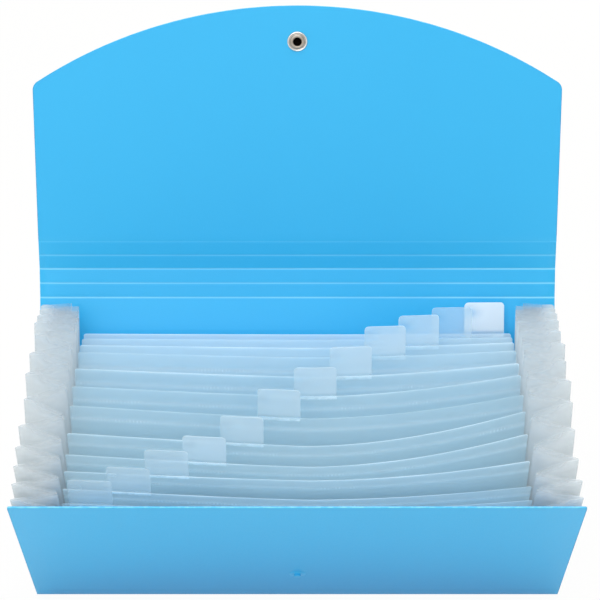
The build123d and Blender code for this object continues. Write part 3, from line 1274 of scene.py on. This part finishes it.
        near_top = eased(1.0 - (1.0 - share) * self.pleat_top / self.soft_top)[None, :]
        values = {
            "clear": np.maximum(fade, self.soft_clear * inside * near_top**2),
            # Painted light that lightens the shade deep in the pleats.
            "milk": self.pleat_painted_light * (1.0 - near_top) * (1.0 - fade),
        }
        return thick_sheet(points, np.full(points.shape[:2], self.pleat_film), self.pleat_rim, values)

    def build(self, divider: bpy.types.Material, tab: bpy.types.Material, gusset: bpy.types.Material) -> None:
        """Build dividers, tabs and gussets and put them on their bodies.

        Args:
            divider: The dividers' material.
            tab: The tabs' material.
            gusset: The gussets' material.
        """
        films = self.films()
        close_rows = 1.0 - np.array([80, 60, 45, 32, 22, 13, 5, 0]) / 1000.0
        share = np.concatenate([np.linspace(0.0, 0.9, 18), close_rows])
        folds = {side: self.pleats(side, share) for side in Side}
        clears = [0.0] * (len(films) + 2 - len(self.rear_clear)) + list(self.rear_clear)
        # Painted light that whitens the rear dividers.
        painted_lights = [0.0] * (len(films) - len(self.rear_painted_light)) + list(self.rear_painted_light)
        for place, film in enumerate(films):
            number = f"{place + 1:02d}"
            body = f"leaf_{number}"
            centre = self.tab_spread * (place / (len(films) - 1) - 0.5)
            ends = (self.lip_left[place], self.lip_right[place])
            surface = self.divider(film, centre, painted_lights[place], ends, self.weld_white_and_glint[place])
            placement = Placement(body, (f"divider_{number}",), "divider_film")
            film.flatten(place_piece(f"divider_film_{number}", surface, divider, placement))
            surface = self.tab(film, centre, self.tab_milk_and_glare[place], self.tab_rim[place])
            placement = Placement(body, (f"tab_{number}",), "tab_film")
            film.flatten(place_piece(f"tab_sleeve_{number}", surface, tab, placement))
            sides = []
            clear = clears[place + 1]
            for side, (inner, outer) in folds.items():
                sides.append(self.fold(outer[place], inner[place + 1], outer[place + 1], share, side, clear))
            placement = Placement(body, (f"gusset_{number}",), "gusset_film")
            surface = sides[0].joined(sides[1])
            film.flatten(place_piece(f"gusset_pleat_{number}", surface, gusset, placement))
        self.build_ends(folds, share, clears, gusset)

    def build_ends(
        self,
        folds: dict[Side, tuple[list[Array], list[Array]]],
        share: Array,
        clears: list[float],
        gusset: bpy.types.Material,
    ) -> None:
        """Build the half pleats that are welded inside the front and back panels.

        Args:
            folds: The inner and outer folds of each side.
            share: Heights of the folds' points as shares from foot to top.
            clears: How clear the film is on each inner fold.
            gusset: The gussets' material.
        """
        cover = self.cover
        ends = (
            ("front_gusset", "front_cover", cover.front_leaf(), 0),
            ("back_gusset", "back_cover", cover.back_leaf(), -1),
        )
        for node, body, leaf, place in ends:
            sides = []
            for side, (inner, outer) in folds.items():
                weld = inner[place] - np.array([side.value * self.flange, 0.0, 0.0])
                lines = [weld, inner[place], outer[place]]
                if place != 0:
                    lines.reverse()
                sides.append(self.fold(*lines, share, side, clears[place]))
            placement = Placement(body, (node,), "gusset_film")
            piece = place_piece(f"{node}_pleat", sides[0].joined(sides[1]), gusset, placement)
            tuple(leaf.forward())
            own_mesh(piece)


@dataclass
class Snap:
    """The snap: a pressed ring inside the flap, its cap outside, and a stud on the front panel.

    The profiles are rows of radius and height from the sheet's face.
    """

    cover: Cover
    rise: float = 102.6
    stud_rise: float = 35.9
    stud_height: float = 1.63
    well_radius: float = 2.16
    well_blend: float = 0.10
    sharp: float = 60.0

    def ring(self, leaf: Leaf, across: Array) -> Surface:
        """Build the ring: a rolled rim, a dished ring and a rounded collar round a well that is painted black
        as shade.

        Args:
            leaf: The flap's sheet.
            across: The direction across the folder.

        Returns:
            The closed ring, with the value "well", painted black shade in its hole, and "shade",
            painted shade that dims the dished ring and collar and shades the rim's outer edge.
        """
        profile = np.array(
            [
                (0.0, 0.0), (4.70, 0.0), (4.86, 0.06), (4.90, 0.22), (4.84, 0.42), (4.66, 0.54),
                (4.42, 0.54), (4.22, 0.44), (4.08, 0.32), (3.92, 0.27), (3.72, 0.30), (3.58, 0.42),
                (3.50, 0.70), (3.44, 0.98), (3.28, 1.20), (3.02, 1.29), (2.70, 1.30), (2.42, 1.26),
                (2.20, 1.14), (2.08, 0.94), (2.05, 0.70), (2.06, 0.40), (2.00, 0.16), (1.80, 0.08),
                (0.0, 0.06),
            ]
        )
        radius = profile[:, 0]
        # Painted shade: the inside of the hole is made black, as the shade that falls in it.
        well = np.clip((self.well_radius - radius) / self.well_blend, 0.0, 1.0)
        # The first row lies under the ring, on the sheet, and so outside the well.
        well[0] = 0.0
        # Painted shade by radius: the collar and dished ring are dimmed to tone down their reflections, the
        # rim is left bright, and its outer edge is shaded.
        shade_radii = [2.2, 2.8, 3.4, 3.6, 4.1, 4.35, 4.75, 4.9]
        shade = np.interp(radius, shade_radii, [0.95, 0.9, 0.85, 0.8, 0.65, 0.1, 0.0, 0.9])
        centre = leaf.place(0.0, self.rise, self.cover.sheet / 2)
        return lathe(profile, centre, leaf.forward(), across, {"well": well, "shade": shade})

    def cap(self, leaf: Leaf, across: Array) -> Surface:
        """Build the cap, a low dome with a rounded rim.

        Args:
            leaf: The flap's sheet.
            across: The direction across the folder.

        Returns:
            The closed cap.
        """
        profile = np.array(
            [
                (0.0, 0.0), (5.20, 0.0), (5.42, 0.08), (5.50, 0.26), (5.44, 0.46), (5.24, 0.62),
                (4.90, 0.72), (4.30, 0.79), (3.40, 0.84), (2.20, 0.88), (1.00, 0.895), (0.0, 0.90),
            ]
        )
        centre = leaf.place(0.0, self.rise, -self.cover.sheet / 2)
        return lathe(profile, centre, -leaf.forward(), across, {})

    def stud(self, leaf: Leaf, across: Array) -> Surface:
        """Build the stud, a sloping disc with a short waisted knob.

        Args:
            leaf: The front panel's sheet.
            across: The direction across the folder.

        Returns:
            The closed stud.
        """
        tall = self.stud_height
        profile = np.array(
            [
                (0.0, 0.0), (4.10, 0.0), (4.20, 0.04), (4.10, 0.10), (3.60, 0.22), (2.90, 0.33),
                (2.20, 0.39), (1.80, 0.44), (1.64, 0.55), (1.60, 0.75), (1.66, tall - 0.62),
                (1.75, tall - 0.40), (1.68, tall - 0.18), (1.48, tall - 0.05), (1.10, tall), (0.0, tall),
            ]
        )
        centre = leaf.place(0.0, self.stud_rise, self.cover.sheet / 2)
        return lathe(profile, centre, leaf.forward(), across, {})

    def build(self, metal: bpy.types.Material, plastic: bpy.types.Material) -> None:
        """Build the ring and the cap on the flap, and the stud on the front panel.

        Args:
            metal: The material of ring and cap.
            plastic: The stud's material.
        """
        flap = self.cover.strip_leaves()[-1]
        across = np.array([1.0, 0.0, 0.0])
        placement = Placement("flap_cover", ("snap_socket",), "snap_metal")
        place_piece("snap_ring", self.ring(flap, across), metal, placement, self.sharp)
        placement = Placement("flap_cover", ("snap_cap",), "snap_metal")
        place_piece("snap_dome", self.cap(flap, across), metal, placement, self.sharp)
        placement = Placement("front_cover", ("snap_stud",), "stud_plastic")
        place_piece("stud_knob", self.stud(self.cover.front_leaf(), across), plastic, placement, self.sharp)


def dress_node(node: str, material: bpy.types.Material) -> None:
    """Give a node of the frame its finished material.

    Args:
        node: The node's name.
        material: The material for all its slots.
    """
    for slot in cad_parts[node].material_slots:
        slot.material = material
    LOG.info("%s keeps its own shape", node)


# Studio


@dataclass(frozen=True)
class Lamp:
    """A square soft lamp: its place and the point that it faces in metres, its side, and its watts."""

    name: str
    place: Triple
    target: Triple
    size: float
    power: float

    def hang(self) -> None:
        """Hang the lamp, turned to its target and out of the camera's sight."""
        data = bpy.data.lights.new(self.name, "AREA")
        data.size = self.size
        data.energy = self.power
        lamp = bpy.data.objects.new(self.name, data)
        lamp.location = self.place
        way = np.array(self.target) - np.array(self.place)
        flat = float(np.hypot(way[0], way[1]))
        turn = float(np.arctan2(way[1], way[0])) - radians(90.0)
        lamp.rotation_euler = (float(np.arctan2(flat, -way[2])), 0.0, turn)
        lamp.visible_camera = False
        bpy.context.scene.collection.objects.link(lamp)


@dataclass
class Studio:
    """White floor, soft light and the camera at the photograph's view, with places in metres."""

    camera_place: Triple = (0.0013, -1.0959, 0.57316)
    camera_down: float = 21.0
    focal_pixels: float = 2434.2
    frame_pixels: float = 600.0
    sensor: float = 36.0
    sky: float = 0.60
    mirrored: float = 0.5
    floor_half: float = 4.0
    floor_z: float = -0.0004
    floor_colour: Colour = (0.94, 0.93, 0.86)
    floor_white: float = 0.12
    floor_seen_white: float = 0.83
    lamps: tuple[Lamp, ...] = (
        Lamp("key_lamp", (-0.55, -1.20, 1.10), (0.0, 0.02, 0.15), 1.1, 5.0),
        Lamp("top_lamp", (-0.05, -0.45, 1.55), (0.0, -0.03, 0.1), 1.2, 13.0),
        Lamp("front_lamp", (-0.30, -2.20, 0.50), (0.0, 0.0, 0.12), 0.8, 5.5),
        Lamp("back_lamp", (0.40, 1.90, 0.90), (0.0, 0.05, 0.12), 1.3, 9.0),
    )

    def build(self) -> None:
        """Set up the camera, world, floor and lamps."""
        self.set_camera()
        self.set_world()
        self.lay_floor()
        for lamp in self.lamps:
            lamp.hang()
        bpy.context.scene.view_settings.view_transform = "Standard"

    def set_camera(self) -> None:
        """Put the camera where the photograph was taken from."""
        data = bpy.data.cameras.new("view_camera")
        data.sensor_width = self.sensor
        data.lens = self.focal_pixels / self.frame_pixels * self.sensor
        camera = bpy.data.objects.new("view_camera", data)
        camera.location = self.camera_place
        camera.rotation_euler = (radians(90.0 - self.camera_down), 0.0, 0.0)
        bpy.context.scene.collection.objects.link(camera)
        bpy.context.scene.camera = camera

    def seen_directly(self, graph: Graph) -> Value:
        """Tell rays that show the background from rays that only carry its light.

        Args:
            graph: The graph of the floor or the world.

        Returns:
            1 for rays that show it straight or through a film, and less for mirrored ones.
        """
        path = graph.node("ShaderNodeLightPath", {}, {})
        seen = Value(graph, path.outputs["Is Camera Ray"]) + Value(graph, path.outputs["Is Transmission Ray"])
        return (seen + self.mirrored * Value(graph, path.outputs["Is Glossy Ray"])).capped()

    def set_world(self) -> None:
        """Make the surroundings white to look at and a softer white as light."""
        world = bpy.data.worlds.new("white_room")
        bpy.context.scene.world = world
        graph = Graph(world)
        strength = self.seen_directly(graph) * (1.0 - self.sky) + self.sky
        graph.finish(graph.node("ShaderNodeBackground", {}, {"Color": WHITE, "Strength": strength}))

    def lay_floor(self) -> None:
        """Lay a wide pale floor that is nearly white to look at and keeps a soft shadow."""
        half, z = self.floor_half, self.floor_z
        corners = [(-half, -half, z), (half, -half, z), (half, half, z), (-half, half, z)]
        mesh = bpy.data.meshes.new("floor")
        mesh.from_pydata(corners, [], [(0, 1, 2, 3)])
        material = bpy.data.materials.new("floor")
        graph = Graph(material)
        plain = graph.node("ShaderNodeBsdfDiffuse", {}, {"Color": opaque(self.floor_colour)})
        white = graph.node("ShaderNodeEmission", {}, {"Color": WHITE, "Strength": 1.0})
        share = self.seen_directly(graph) * self.floor_seen_white + self.floor_white
        graph.finish(graph.mixed(share, plain, white))
        mesh.materials.append(material)
        floor = bpy.data.objects.new("floor", mesh)
        bpy.context.scene.collection.objects.link(floor)


def main() -> None:
    """Build every sub-assembly in order, then the studio."""
    logging.basicConfig(level=logging.INFO, format="%(name)s: %(message)s")
    sheet = SheetFinish().material()
    divider = FilmFinish(
        FilmUse.DIVIDER,
        colour=(0.76, 0.915, 0.985),
        passed=(0.72, 0.905, 0.985),
        opacity=0.50,
        hem_opacity=0.38,
        rim_opacity=0.95,
        rim_highlight=1.0,
        scattered_through=0.48,
    ).material()
    gusset = FilmFinish(
        FilmUse.GUSSET,
        colour=(0.832, 0.872, 0.892),
        passed=(0.832, 0.872, 0.892),
        opacity=0.44,
        hem_opacity=0.44,
        rim_opacity=0.44,
        rim_highlight=0.0,
        scattered_through=0.50,
    ).material()
    tab = FilmFinish(
        FilmUse.TAB,
        colour=(0.82, 0.93, 0.98),
        passed=(0.78, 0.92, 0.98),
        opacity=0.26,
        hem_opacity=0.26,
        rim_opacity=0.55,
        rim_highlight=0.60,
        scattered_through=0.42,
        roughness=0.22,
        glow=0.20,
    ).material()
    metal = MetalFinish().material()
    stud = StudFinish().material()
    cover = Cover()
    cover.build(sheet)
    Pockets(cover).build(divider, tab, gusset)
    Snap(cover).build(metal, stud)
    dress_node("base_spine", sheet)
    dress_node("floor_film", divider)
    dress_node("stud_rivet", stud)
    Studio().build()


if __name__ == "__main__":
    main()
